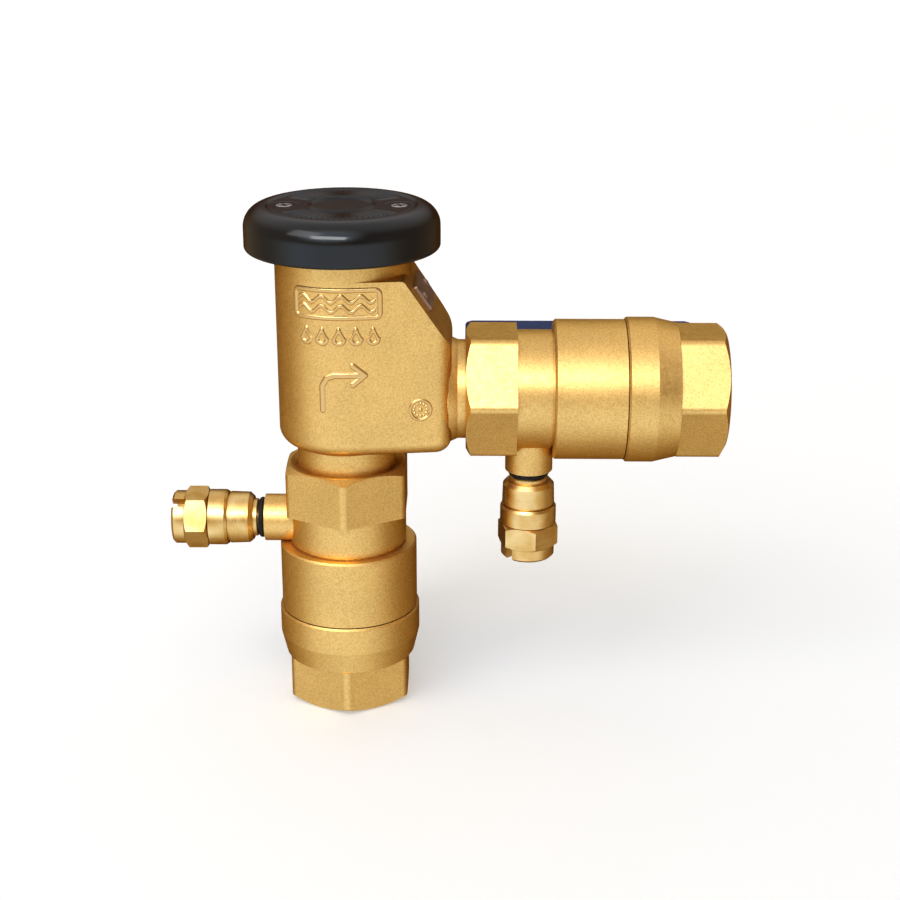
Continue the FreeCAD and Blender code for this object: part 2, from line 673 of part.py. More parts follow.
def necks_and_chamber(casting):
    casting.turned([
        (0, "inlet_valve_top - neck_fit_len"), ("neck_fit_rad - 0.8", "inlet_valve_top - neck_fit_len"),
        ("neck_fit_rad", "inlet_valve_top - neck_fit_len + 0.8"), ("neck_fit_rad", "inlet_valve_top"),
        ("neck_rad", "inlet_valve_top"), ("neck_rad", "body_low - 0.8"), ("neck_rad + 1", "body_low + 0.4"),
        ("neck_rad + 1", "body_low + 4"), (0, "body_low + 4"),
    ])
    casting.rod("neck_rad", "outlet_valve_start", (0, 0, "outlet_axis"), OUTWARD)
    casting.rod("neck_fit_rad", "outlet_valve_start + neck_fit_len", (0, 0, "outlet_axis"), OUTWARD)
    flare = casting.primitive("Cone", False, ("body_right - 1", 0, "outlet_axis"), OUTWARD,
                              Radius1="flare_rad", Radius2="neck_rad", Height="flare_len")
    flare.Label = "outlet_flare"
    casting.turned([
        (0, "inlet_valve_top - neck_fit_len"), ("waterway_rad", "inlet_valve_top - neck_fit_len"),
        ("waterway_rad", "check_seat_low"), ("check_seat_rad + 0.02", "check_seat_low"),
        ("check_seat_rad + 0.02", "chamber_floor"), ("chamber_rad", "chamber_floor"),
        ("chamber_rad", "bonnet_low"), ("bonnet_rad + 0.02", "bonnet_low"),
        ("bonnet_rad + 0.02", "body_top + 1"), (0, "body_top + 1"),
    ], cut=True)
    casting.rod("waterway_rad", "outlet_valve_start + neck_fit_len + 1", (0, 0, "outlet_axis"), OUTWARD, cut=True)


def nameplate():
    """A blank plate on the shoulder's slope, and its two drive pins."""
    corner = (value("plate_len") / 2, value("plate_width") / 2)
    plate = Piece("nameplate")
    plate.block("plate_len", "plate_width", "plate_thick", 0)
    plate.rounded("plate_round", lambda at, edge: abs(abs(at.x) - corner[0]) < 0.01
                  and abs(abs(at.y) - corner[1]) < 0.01)
    for side in (-1, 1):
        plate.rod("pin_rad + running_gap", "plate_thick + 1", (0, f"{side * value('pin_spread'):.3f}", -0.5),
                  cut=True)
    plate.done(plate_place(0, value("running_gap")))
    pins = []
    for word, side in (("front", -1), ("back", 1)):
        pin = Piece(f"nameplate_pin_{word}")
        pin.turned([
            (0, "0 - pin_len"), ("pin_rad", "0 - pin_len"), ("pin_rad", "plate_thick + running_gap"),
            ("pin_head_rad", "plate_thick + running_gap"),
            ("pin_head_rad - 0.6", "plate_thick + running_gap + pin_head"),
            (0, "plate_thick + running_gap + pin_head"),
        ])
        pin.body.Placement = plate_place(side * value("pin_spread"), value("running_gap"))
        pins.append(pin.body)
    group = doc.addObject("Part::Compound", "nameplate_pins")
    group.Links = pins
    group.Label = "nameplate_pins"
    SUBPARTS.append(group)


def spring(label, radius, wire, low, high, turns):
    """A compression spring: a round wire swept along a helix, with a part turn closed at each end."""
    rise = high - low - 2 * wire
    helix = Part.makeHelix(rise / turns, rise, radius)
    path = Part.Wire(helix.Edges)
    start = path.Edges[0].valueAt(path.Edges[0].FirstParameter)
    heading = path.Edges[0].tangentAt(path.Edges[0].FirstParameter)
    section = Part.Wire([Part.Circle(start, heading, wire).toShape()])
    coil = path.makePipeShell([section], True, True)
    coil.translate(V(0, 0, low + wire))
    feature = doc.addObject("Part::Feature", label)
    feature.Shape = Part.Solid(coil) if coil.ShapeType == "Shell" else coil
    feature.Label = label
    SUBPARTS.append(feature)


def check_valve():
    seat = Piece("check_seat")
    seat.turned([
        ("waterway_rad - 0.4", "check_seat_low"), ("check_seat_rad", "check_seat_low"),
        ("check_seat_rad", "check_seat_top"), ("waterway_rad + 0.6", "check_seat_top"),
        ("waterway_rad + 0.3", "check_lip_top"), ("waterway_rad - 0.4", "check_lip_top"),
    ])
    seat.turned([
        ("check_seat_rad - 1.5", "check_seat_low + 1"), ("check_seat_rad + 1", "check_seat_low + 1"),
        ("check_seat_rad + 1", "check_seat_low + 2.7"), ("check_seat_rad - 1.5", "check_seat_low + 2.7"),
    ], cut=True)
    seat.done()
    seal = Piece("check_seat_oring")
    seal.ring("check_seat_rad - 0.74", "0.74", "check_seat_low + 1.85")
    seal.done()
    poppet = Piece("check_poppet")
    poppet.turned([
        (0, "check_disc_low"), ("check_stem_rad", "check_disc_low"), ("check_stem_rad", "check_disc_top"),
        ("check_disc_rad + 0.1", "check_disc_top"), ("check_disc_rad + 0.1", "check_disc_low + 1"),
        ("check_plate_rad", "check_disc_low + 1"), ("check_plate_rad", "check_plate_top - 0.8"),
        ("check_plate_rad - 0.8", "check_plate_top"), ("check_stem_rad", "check_plate_top"),
        ("check_stem_rad", "check_stem_top - 1"), ("check_stem_rad - 1", "check_stem_top"), (0, "check_stem_top"),
    ])
    poppet.rod("1.6", "check_plate_top - check_disc_low", (0, 0, "check_disc_low"), cut=True)
    poppet.done()
    disc = Piece("check_disc")
    disc.turned([
        ("check_stem_rad + 0.05", "check_disc_low"), ("check_disc_rad", "check_disc_low"),
        ("check_disc_rad", "check_disc_top"), ("check_stem_rad + 0.05", "check_disc_top"),
    ])
    disc.done()
    washer = Piece("check_disc_washer")
    washer.turned([
        ("1.7", "check_disc_low - 1.3"), ("8", "check_disc_low - 1.3"), ("8", "check_disc_low - 0.02"),
        ("1.7", "check_disc_low - 0.02"),
    ])
    washer.done()
    screw = Piece("check_screw")
    screw.turned([
        (0, "check_disc_low - 3.6"), ("2.6", "check_disc_low - 3.6"), ("3.4", "check_disc_low - 2.8"),
        ("3.4", "check_disc_low - 1.32"), ("1.58", "check_disc_low - 1.32"), ("1.58", "check_plate_top - 0.4"),
        (0, "check_plate_top - 0.4"),
    ])
    screw.block("0.9", "10", "5", "check_disc_low - 7.5", cut=True)
    screw.done()
    spring("check_spring", value("check_spring_rad"), value("check_wire"),
           value("check_plate_top") + 0.1, value("guide_low") - 0.1, 5)
    guide = Piece("check_guide")
    guide.turned([
        ("chamber_rad - 2.2", "guide_arm_low"), ("chamber_rad - 0.05", "guide_arm_low"),
        ("chamber_rad - 0.05", "guide_top"), ("chamber_rad - 2.2", "guide_top"),
    ])
    guide.block("chamber_rad + chamber_rad - 2", "4", "guide_top - guide_arm_low", "guide_arm_low")
    guide.block("4", "chamber_rad + chamber_rad - 2", "guide_top - guide_arm_low", "guide_arm_low")
    guide.rod("check_spring_rad + 1.6", "guide_top - guide_low", (0, 0, "guide_low"))
    guide.rod("check_stem_rad + running_gap", "40", (0, 0, "guide_low - 5"), cut=True)
    guide.done()


def air_inlet():
    cup = Piece("float")
    cup.turned([
        ("float_cup_rad - 2", "float_low"), ("float_cup_rad", "float_low"), ("float_cup_rad", "float_plate_low"),
        ("float_plate_rad", "float_plate_low"), ("float_plate_rad", "float_plate_top"),
        ("float_stem_rad", "float_plate_top"), ("float_stem_rad", "float_stem_top"), (0, "float_stem_top"),
        (0, "float_plate_low + 1"), ("float_cup_rad - 2", "float_plate_low + 1"),
    ])
    cup.done()
    disc = Piece("float_disc")
    disc.turned([
        ("float_hub_rad", "float_plate_top + 0.02"), ("float_disc_rad", "float_plate_top + 0.02"),
        ("float_disc_rad", "float_disc_top"), ("float_hub_rad", "float_disc_top"),
    ])
    disc.done()
    spring("float_spring", value("float_spring_rad"), value("float_wire"),
           value("float_plate_top") + 0.1, value("bonnet_arm_low") - 0.1, 5)
    bonnet = Piece("bonnet")
    bonnet.turned([
        ("air_bore_rad", "air_lip_low"), ("air_bore_rad + 1.2", "air_lip_low"),
        ("air_bore_rad + 1.6", "bonnet_low"), ("bonnet_rad", "bonnet_low"), ("bonnet_rad", "body_top + 0.02"),
        ("bonnet_flange_rad", "body_top + 0.02"), ("bonnet_flange_rad", "bonnet_flange_top"),
        ("air_bore_rad", "bonnet_flange_top"),
    ])
    bonnet.block("air_bore_rad + air_bore_rad + 4", "3", "4", "bonnet_arm_low")
    bonnet.block("3", "air_bore_rad + air_bore_rad + 4", "4", "bonnet_arm_low")
    bonnet.rod("float_hub_rad", "4", (0, 0, "bonnet_arm_low"))
    for side in ("screw_spread", "0 - screw_spread"):
        bonnet.rod("post_rad", "post_top - bonnet_flange_top + 1", (side, 0, "bonnet_flange_top - 1"))
    for side in ("screw_spread", "0 - screw_spread"):
        bonnet.rod("screw_rad", "20", (side, 0, "post_top - 6.5"), cut=True)
    bonnet.rod("float_stem_rad + running_gap", "40", (0, 0, "air_lip_low - 5"), cut=True)
    bonnet.turned([
        ("bonnet_rad - 1.5", "bonnet_low + 3"), ("bonnet_rad + 1", "bonnet_low + 3"),
        ("bonnet_rad + 1", "bonnet_low + 4.7"), ("bonnet_rad - 1.5", "bonnet_low + 4.7"),
    ], cut=True)
    bonnet.done()
    seal = Piece("bonnet_oring")
    seal.ring("bonnet_rad - 0.74", "0.74", "bonnet_low + 3.85")
    seal.done()


def canopy():
    cover = Piece("canopy")
    cover.turned([
        ("canopy_rad - canopy_wall", "canopy_low"), ("canopy_rad", "canopy_low"), ("canopy_rad", "canopy_top"),
        ("canopy_dish_rad", "canopy_top"), ("canopy_dish_rad - 1", "canopy_top - canopy_dish"),
        (0, "canopy_top - canopy_dish"), (0, "canopy_top - canopy_wall - canopy_dish"),
        ("canopy_rad - canopy_round", "canopy_top - canopy_wall - canopy_dish"),
        ("canopy_rad - canopy_wall", "canopy_top - canopy_round"),
    ])
    rim = value("canopy_rad")
    for size, height in (("canopy_round", value("canopy_top")), ("canopy_low_round", value("canopy_low"))):
        cover.rounded(size, lambda at, edge: abs(math.hypot(at.x, at.y) - rim) < 0.01
                      and abs(at.z - height) < 0.01 and edge.Length > 10)
    for side in ("screw_spread", "0 - screw_spread"):
        cover.rod("post_rad + 0.8", "canopy_top - 1.5 - post_top", (side, 0, "post_top + 0.02"))
    for side in ("screw_spread", "0 - screw_spread"):
        cover.rod("screw_recess_rad", "9", (side, 0, "canopy_top - canopy_dish - screw_recess"), cut=True)
        cover.rod("screw_rad + 0.25", "20", (side, 0, "post_top - 5"), cut=True)
    cover.done()
    screws = []
    for word, side in (("right", 1), ("left", -1)):
        screw = Piece(f"canopy_screw_{word}")
        seat = "canopy_top - canopy_dish - screw_recess + 0.02"
        screw.turned([
            (0, "post_top - 6"), ("screw_rad - 0.02", "post_top - 6"), ("screw_rad - 0.02", seat),
            ("screw_head_rad", seat), ("screw_head_rad", f"{seat} + 1.2"), ("screw_head_rad - 0.9", f"{seat} + 2"),
            (0, f"{seat} + 2"),
        ])
        for about in (0.0, 90.0):
            screw.block("4.2", "0.9", "3", f"{seat} + 0.8", about=about + 20, cut=True)
        screw.body.Placement = Placement(V(side * value("screw_spread"), 0, 0), UPRIGHT)
        screws.append(screw.body)
    group = doc.addObject("Part::Compound", "canopy_screws")
    group.Links = screws
    group.Label = "canopy_screws"
    SUBPARTS.append(group)


def check_and_write():
    """Stop on any failed object or bad shape, then write one STEP file for each sub-part."""
    doc.recompute()
    failed = [o.Label for o in doc.Objects if "Invalid" in o.State or "Error" in o.State]
    if failed:
        raise RuntimeError(f"failed objects: {failed}")
    for part in SUBPARTS:
        if part.Shape.isNull() or not part.Shape.isValid():
            raise RuntimeError(f"bad shape: {part.Label}")
    os.makedirs("parts", exist_ok=True)
    for part in SUBPARTS:
        part.Shape.exportStep(os.path.join("parts", f"{part.Label}.step"))
        print(f"{part.Label}: {len(part.Shape.Solids)} solid(s), {part.Shape.Volume:.1f} mm3")


inlet_place = Placement(V(0, 0, value("inlet_valve_top")), FreeCAD.Rotation(V(0, 1, 0), 180))
outlet_place = Placement(V(value("outlet_valve_start"), 0, value("outlet_axis")), OUTWARD)
body_casting()
nameplate()
check_valve()
air_inlet()
canopy()
ball_valve("inlet", inlet_place)
ball_valve("outlet", outlet_place)
check_and_write()
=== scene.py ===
"""Looks of a 1 inch pressure vacuum breaker.

Brass castings, turned test cocks, a black canopy and blue handles. Laid out as an add-on and run as a
script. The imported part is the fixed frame; each operator adds one piece, or one group of like pieces, or
finishes a group of the part's nodes.
"""

import json
import math

import bpy
import numpy as np
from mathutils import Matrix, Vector


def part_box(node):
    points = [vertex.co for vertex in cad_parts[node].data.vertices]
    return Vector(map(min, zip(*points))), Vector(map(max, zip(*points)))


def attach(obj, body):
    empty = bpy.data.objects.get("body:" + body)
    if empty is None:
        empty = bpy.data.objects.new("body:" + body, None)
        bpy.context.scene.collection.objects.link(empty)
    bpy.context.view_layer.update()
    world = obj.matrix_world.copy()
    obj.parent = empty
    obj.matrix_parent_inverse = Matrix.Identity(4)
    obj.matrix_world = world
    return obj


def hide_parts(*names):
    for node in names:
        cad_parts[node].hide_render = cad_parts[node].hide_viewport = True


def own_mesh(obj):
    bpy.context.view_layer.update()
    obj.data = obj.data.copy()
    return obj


bl_info = {
    "name": "Vacuum Breaker Looks",
    "version": (1, 0, 0),
    "blender": (4, 5, 0),
    "location": "3D View > Sidebar > Breaker",
    "description": "Finishes and fine detail for a brass pressure vacuum breaker",
    "category": "Object",
}

MM = 0.001
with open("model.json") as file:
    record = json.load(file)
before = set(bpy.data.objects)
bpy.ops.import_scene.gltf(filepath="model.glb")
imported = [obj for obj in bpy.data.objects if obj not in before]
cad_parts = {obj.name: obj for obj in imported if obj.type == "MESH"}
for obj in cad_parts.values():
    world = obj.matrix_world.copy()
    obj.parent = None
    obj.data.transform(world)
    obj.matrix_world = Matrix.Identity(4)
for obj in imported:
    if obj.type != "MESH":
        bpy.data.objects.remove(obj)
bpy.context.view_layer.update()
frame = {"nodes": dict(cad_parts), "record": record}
MOUNTS = {mount["name"]: mount for mount in frame["record"]["mounts"]}


# ---------------------------------------------------------------- settings


class BreakerFinish(bpy.types.PropertyGroup):
    brass_light: bpy.props.FloatVectorProperty(
        name="Light brass", description="Colour of the castings on their high spots",
        subtype="COLOR", default=(0.86, 0.57, 0.195), min=0, max=1)
    brass_dark: bpy.props.FloatVectorProperty(
        name="Dark brass", description="Colour of the castings in the pits of their grain",
        subtype="COLOR", default=(0.68, 0.425, 0.13), min=0, max=1)
    brass_turned: bpy.props.FloatVectorProperty(
        name="Turned brass", description="Colour of machined threads and test cocks",
        subtype="COLOR", default=(0.86, 0.62, 0.27), min=0, max=1)
    brass_edge: bpy.props.FloatVectorProperty(
        name="Brass edge", description="Tint of the brass where it turns away from the eye",
        subtype="COLOR", default=(0.62, 0.42, 0.20), min=0, max=1)
    cast_roughness: bpy.props.FloatProperty(
        name="Cast roughness", description="How matte the blasted castings are",
        default=0.42, min=0, max=1)
    canopy_black: bpy.props.FloatVectorProperty(
        name="Canopy black", description="Colour of the moulded canopy",
        subtype="COLOR", default=(0.005, 0.007, 0.010), min=0, max=1)
    handle_blue: bpy.props.FloatVectorProperty(
        name="Handle blue", description="Colour of the dipped handles",
        subtype="COLOR", default=(0.006, 0.035, 0.15), min=0, max=1)


class BreakerThreads(bpy.types.PropertyGroup):
    pipe_pitch: bpy.props.FloatProperty(
        name="Pipe thread pitch", description="Pitch of the 1 inch pipe threads",
        unit="LENGTH", default=2.209 * MM)
    pipe_height: bpy.props.FloatProperty(
        name="Pipe thread height", description="Crest to root of the 1 inch pipe threads",
        unit="LENGTH", default=0.95 * MM)
    cock_pitch: bpy.props.FloatProperty(
        name="Cock thread pitch", description="Pitch of the 1/4 inch threads in the test cocks",
        unit="LENGTH", default=1.411 * MM)
    cock_height: bpy.props.FloatProperty(
        name="Cock thread height", description="Crest to root of the 1/4 inch threads",
        unit="LENGTH", default=0.5 * MM)
    cock_depth: bpy.props.FloatProperty(
        name="Cock thread depth", description="Length of thread in a test cock's plug",
        unit="LENGTH", default=4.3 * MM)
    cock_lead: bpy.props.FloatProperty(
        name="Cock thread lead", description="How far outside its mount's point a cock's thread starts",
        unit="LENGTH", default=1.0 * MM)
    steps_around: bpy.props.IntProperty(
        name="Steps around", description="Facets in one turn of a thread", default=128, min=24)
    steps_per_pitch: bpy.props.IntProperty(
        name="Steps per pitch", description="Rows across one thread", default=8, min=4)


class BreakerRelief(bpy.types.PropertyGroup):
    height: bpy.props.FloatProperty(
        name="Relief height", description="How far the cast relief stands out", unit="LENGTH",
        default=0.45 * MM)
    wall_taper: bpy.props.FloatProperty(
        name="Wall taper", description="How far the body's straight wall turns in towards the outlet",
        subtype="ANGLE", default=math.radians(7.51))
    line_width: bpy.props.FloatProperty(
        name="Line width", description="Width of a cast line", unit="LENGTH", default=1.3 * MM)
    grid_step: bpy.props.FloatProperty(
        name="Grid step", description="Spacing of the relief's grid", unit="LENGTH", default=0.22 * MM)
    wave_count: bpy.props.IntProperty(
        name="Waves", description="Crests of each wavy line in the panel", default=4, min=1)


class BreakerCanopy(bpy.types.PropertyGroup):
    dish_depth: bpy.props.FloatProperty(
        name="Dish depth", description="How far the canopy's top lies under its rim", unit="LENGTH",
        default=0.5 * MM)
    screw_spread: bpy.props.FloatProperty(
        name="Screw spread", description="Distance of each screw from the middle", unit="LENGTH",
        default=19.0 * MM)
    well_reach: bpy.props.FloatProperty(
        name="Well radius", description="Radius kept clear round each screw", unit="LENGTH",
        default=4.6 * MM)
    rib_reach: bpy.props.FloatProperty(
        name="Slab radius", description="Radius of the moulded slab", unit="LENGTH", default=24.0 * MM)
    rib_start: bpy.props.FloatProperty(
        name="Rib start", description="Inner end of the ribs", unit="LENGTH", default=13.5 * MM)
    rib_end: bpy.props.FloatProperty(
        name="Rib end", description="Outer end of the ribs", unit="LENGTH", default=22.0 * MM)
    rib_count: bpy.props.IntProperty(
        name="Rib count", description="Ribs in a full turn, of which two fans are kept",
        default=72, min=1)
    rib_height: bpy.props.FloatProperty(
        name="Rib height", description="How far a rib stands out", unit="LENGTH", default=0.5 * MM)
    ring_reach: bpy.props.FloatProperty(
        name="Ring radius", description="Radius of the middle ring", unit="LENGTH", default=10.6 * MM)


class BreakerStage(bpy.types.PropertyGroup):
    floor_shade: bpy.props.FloatProperty(
        name="Floor shade", description="Brightness of the pale floor", default=0.86, min=0, max=1)
    floor_glow: bpy.props.FloatProperty(
        name="Floor glow", description="Light of its own that lifts the floor's shadows",
        default=0.29, min=0)
    azimuth: bpy.props.FloatProperty(
        name="Azimuth", description="Camera heading; zero looks along +Y", subtype="ANGLE",
        default=math.radians(-0.7))
    elevation: bpy.props.FloatProperty(
        name="Elevation", description="Camera height angle", subtype="ANGLE", default=math.radians(20.2))
    distance: bpy.props.FloatProperty(
        name="Distance", description="Camera to aim point", unit="LENGTH", default=0.5978)
    lens: bpy.props.FloatProperty(name="Lens", description="Focal length in millimetres", default=69.1)


# ---------------------------------------------------------------- mesh helpers


def grid_faces(rows, cols, wrap_rows=False, wrap_cols=False):
    """Quads of a rows by cols grid of vertices, closed on itself where asked."""
    i = np.arange(rows if wrap_rows else rows - 1)
    j = np.arange(cols if wrap_cols else cols - 1)
    i, j = (a.ravel() for a in np.meshgrid(i, j, indexing="ij"))
    up, across = (i + 1) % rows, (j + 1) % cols
    return np.stack([i * cols + j, i * cols + across, up * cols + across, up * cols + j], axis=1)


def mesh_object(name, points, quads):
    """A smooth-shaded mesh object from an array of points and an array of quads, filled in one go."""
    mesh = bpy.data.meshes.new(name)
    count = len(quads)
    mesh.vertices.add(len(points))
    mesh.vertices.foreach_set("co", np.asarray(points, dtype=np.float32).ravel())
    mesh.loops.add(count * 4)
    mesh.loops.foreach_set("vertex_index", np.asarray(quads, dtype=np.int32).ravel())
    mesh.polygons.add(count)
    mesh.polygons.foreach_set("loop_start", np.arange(count, dtype=np.int32) * 4)
    mesh.polygons.foreach_set("use_smooth", np.full(count, True))
    mesh.update(calc_edges=True)
    mesh.validate()
    piece = bpy.data.objects.new(name, mesh)
    bpy.context.scene.collection.objects.link(piece)
    return piece


def tube(name, surface, rows, cols):
    """A closed ring-shaped piece: surface(u, v) takes u along the section, v around, 0 to 1 each."""
    u, v = np.meshgrid(np.arange(rows) / rows, np.arange(cols) / cols, indexing="ij")
    points = np.stack(surface(u, v), axis=-1).reshape(-1, 3)
    return mesh_object(name, points, grid_faces(rows, cols, True, True))


def coil(name, radius, wire, low, high, turns):
    """A closed round wire on a helix about Z; its end faces are strips of quads across the section.

    The middle line climbs evenly with the turn; each section circle lies square to it, in the outward
    direction and the cross of that with the line's direction.
    """
    rows, cols = 48 * turns, 12
    t, a = np.meshgrid(np.linspace(0, 1, rows), 2 * np.pi * np.arange(cols) / cols, indexing="ij")
    turn, rise = 2 * np.pi * turns * t, high - low - 2 * wire
    slope = math.atan2(rise / turns, 2 * np.pi * radius)
    reach = radius + wire * np.cos(a)
    side = -math.sin(slope) * wire * np.sin(a)
    x = reach * np.cos(turn) - side * np.sin(turn)
    y = reach * np.sin(turn) + side * np.cos(turn)
    z = low + wire + rise * t + math.cos(slope) * wire * np.sin(a)
    k = np.arange(cols // 2 - 1)
    cap = np.stack([k, k + 1, cols - 2 - k, cols - 1 - k], axis=1)
    wall = grid_faces(rows, cols, False, True)[:, ::-1]
    quads = np.concatenate([wall, cap, cap[:, ::-1] + (rows - 1) * cols])
    return mesh_object(name, np.stack([x, y, z], axis=-1).reshape(-1, 3), quads)


def to_axis(radial, side, along, origin, axis):
    """Points of a round piece about an axis: radial and side are the cross-section's two coordinates."""
    axis = np.asarray(Vector(axis).normalized())
    first = np.array([0.0, 1.0, 0.0]) if abs(axis[1]) < 0.9 else np.array([1.0, 0.0, 0.0])
    second = np.cross(axis, first)
    origin = np.asarray(origin, dtype=float)
    return [origin[k] + radial * first[k] + side * second[k] + along * axis[k] for k in range(3)]


# ---------------------------------------------------------------- material helpers


class Shader:
    """A material with one Principled shader, and short calls for the nodes that feed it."""

    def __init__(self, name, colour, roughness, metallic=0.0, **sockets):
        self.material = bpy.data.materials.new(name)
        self.material.use_nodes = True
        self.nodes = self.material.node_tree.nodes
        self.links = self.material.node_tree.links
        self.surface = self.nodes["Principled BSDF"]
        self.set("Base Color", (*colour, 1.0))
        self.set("Roughness", roughness)
        self.set("Metallic", metallic)
        for socket, number in sockets.items():
            self.set(socket.replace("_", " "), number)
        self.place = self.add("TexCoord").outputs["Object"]

    def set(self, socket, source, node=None):
        """Put a number on a socket, or a link into it."""
        target = (node or self.surface).inputs[socket]
        if isinstance(source, bpy.types.NodeSocket):
            self.links.new(source, target)
        else:
            target.default_value = source

    def add(self, kind, inputs=None, **settings):
        node = self.nodes.new(f"ShaderNode{kind}")
        for name, setting in settings.items():
            setattr(node, name, setting)
        for socket, source in (inputs or {}).items():
            self.set(socket, source, node)
        return node

    def noise(self, scale, detail=3.0, rough=0.5, place=None):
        node = self.add("TexNoise", {"Vector": place or self.place, "Scale": scale, "Detail": detail,
                                     "Roughness": rough})
        return node.outputs["Fac"]

    def stretched(self, scale):
        """Object coordinates stretched by a different factor along each axis."""
        return self.add("Mapping", {"Vector": self.place, "Scale": scale}).outputs["Vector"]

    def between(self, factor, low, high, start=0.0, end=1.0):
        """A number that goes from low to high as factor goes from start to end."""
        node = self.add("MapRange", {"Value": factor, "From Min": start, "From Max": end,
                                     "To Min": low, "To Max": high})
        return node.outputs["Result"]

    def blend(self, factor, low, high, mode="MIX"):
        node = self.add("Mix", data_type="RGBA", blend_type=mode)
        self.set(0, factor, node)
        for socket, colour in ((6, low), (7, high)):
            is_link = isinstance(colour, bpy.types.NodeSocket)
            self.set(socket, colour if is_link else (*colour, 1.0), node)
        return node.outputs[2]

    def bump(self, height, strength, distance, normal=None):
        inputs = {"Height": height, "Strength": strength, "Distance": distance}
        if normal is not None:
            inputs["Normal"] = normal
        return self.add("Bump", inputs).outputs["Normal"]


def cast_brass():
    """Shot-blasted bronze casting: fine even grain, faint tarnish clouds, warm where it turns away."""
    finish = bpy.context.scene.breaker_finish
    matte = finish.cast_roughness
    look = Shader("cast_brass", finish.brass_light, matte, 1.0)
    grain = look.noise(1700.0, 2.0, 0.55)
    pits = look.noise(520.0, 3.0, 0.55)
    clouds = look.noise(60.0, 3.0)
    tone = look.blend(look.between(grain, 0.0, 1.0, 0.32, 0.62), finish.brass_dark, finish.brass_light)
    shade = look.between(clouds, 0.94, 1.05, 0.3, 0.7)
    look.set("Base Color", look.blend(1.0, tone, look.add("CombineColor", {
        "Red": shade, "Green": shade, "Blue": shade}).outputs[0], "MULTIPLY"))
    look.set("Specular Tint", (*finish.brass_edge, 1.0))
    look.set("Roughness", look.between(pits, matte - 0.04, matte + 0.06, 0.3, 0.7))
    low = look.bump(pits, 0.22, 0.10 * MM)
    look.set("Normal", look.bump(grain, 0.26, 0.04 * MM, low))
    return look.material


def turned_brass(name, axis):
    """Machined brass: fine tool rings round the axis of turning, and a slightly uneven shine."""
    finish = bpy.context.scene.breaker_finish
    look = Shader(name, finish.brass_turned, 0.28, 1.0)
    across_rings, along_axis = 40.0, 3600.0
    stretch = tuple(along_axis if letter == axis else across_rings for letter in "XYZ")
    rings = look.noise(1.0, 2.0, 0.6, look.stretched(stretch))
    clouds = look.noise(160.0, 3.0)
    look.set("Base Color", look.blend(look.between(clouds, 0.0, 1.0, 0.35, 0.65), finish.brass_dark,
                                      finish.brass_turned))
    look.set("Specular Tint", (*finish.brass_edge, 1.0))
    look.set("Roughness", look.between(rings, 0.24, 0.40, 0.3, 0.7))
    look.set("Normal", look.bump(rings, 0.22, 0.03 * MM))
    return look.material


def canopy_plastic():
    """Glossy black moulding with a faint orange peel and dusty scuffs."""
    finish = bpy.context.scene.breaker_finish
    look = Shader("canopy_plastic", finish.canopy_black, 0.2, 0.0, Specular_IOR_Level=0.36)
    peel = look.noise(420.0, 2.0)
    scuffs = look.noise(130.0, 5.0, 0.65)
    look.set("Roughness", look.between(scuffs, 0.10, 0.20, 0.35, 0.7))
    look.set("Normal", look.bump(peel, 0.08, 0.05 * MM))
    return look.material


def dipped_vinyl():
    """Thick blue vinyl dip: soft sheen, slow waviness and tiny pores."""
    finish = bpy.context.scene.breaker_finish
    look = Shader("dipped_vinyl", finish.handle_blue, 0.38, 0.0, Specular_IOR_Level=0.2)
    waves = look.noise(120.0, 2.0)
    pores = look.noise(1800.0, 2.0)
    dark = tuple(c * 0.6 for c in finish.handle_blue)
    look.set("Base Color", look.blend(look.between(waves, 0.0, 1.0, 0.3, 0.7), dark, finish.handle_blue))
    look.set("Roughness", look.between(pores, 0.32, 0.48, 0.35, 0.65))
    look.set("Normal", look.bump(pores, 0.1, 0.03 * MM, look.bump(waves, 0.15, 0.3 * MM)))
    return look.material


def plate_metal():
    """Blank tag plate: fine brushing across the plate, with a warm cast."""
    look = Shader("plate_metal", (0.42, 0.31, 0.26), 0.38, 0.85)
    brushed = look.noise(1.0, 3.0, 0.6, look.stretched((3500.0, 60.0, 3500.0)))
    look.set("Base Color", look.blend(brushed, (0.30, 0.21, 0.17), (0.55, 0.42, 0.36)))
    look.set("Roughness", look.between(brushed, 0.28, 0.5, 0.3, 0.7))
    look.set("Normal", look.bump(brushed, 0.2, 0.02 * MM))
    return look.material


def bright_steel():
    """Zinc-bright steel of screws, springs and nuts."""
    look = Shader("bright_steel", (0.72, 0.72, 0.73), 0.22, 1.0)
    fine = look.noise(900.0, 3.0, 0.6)
    look.set("Roughness", look.between(fine, 0.16, 0.34, 0.35, 0.65))
    look.set("Normal", look.bump(fine, 0.12, 0.03 * MM))
    return look.material


def chrome_plate():
    """Polished plated ball with faint wipe marks."""
    look = Shader("chrome_plate", (0.82, 0.83, 0.85), 0.06, 1.0)
    wipes = look.noise(1.0, 2.0, 0.5, look.stretched((90.0, 900.0, 90.0)))
    look.set("Roughness", look.between(wipes, 0.04, 0.14, 0.4, 0.7))
    return look.material


def smooth_plastic(name, colour, roughness):
    """Moulded seat, washer or float plastic with a fine matte skin."""
    look = Shader(name, colour, roughness, 0.0)
    skin = look.noise(1300.0, 3.0)
    look.set("Roughness", look.between(skin, roughness - 0.06, roughness + 0.08, 0.3, 0.7))
    look.set("Base Color", look.blend(skin, tuple(c * 0.92 for c in colour), colour))
    look.set("Normal", look.bump(skin, 0.1, 0.03 * MM))
    return look.material


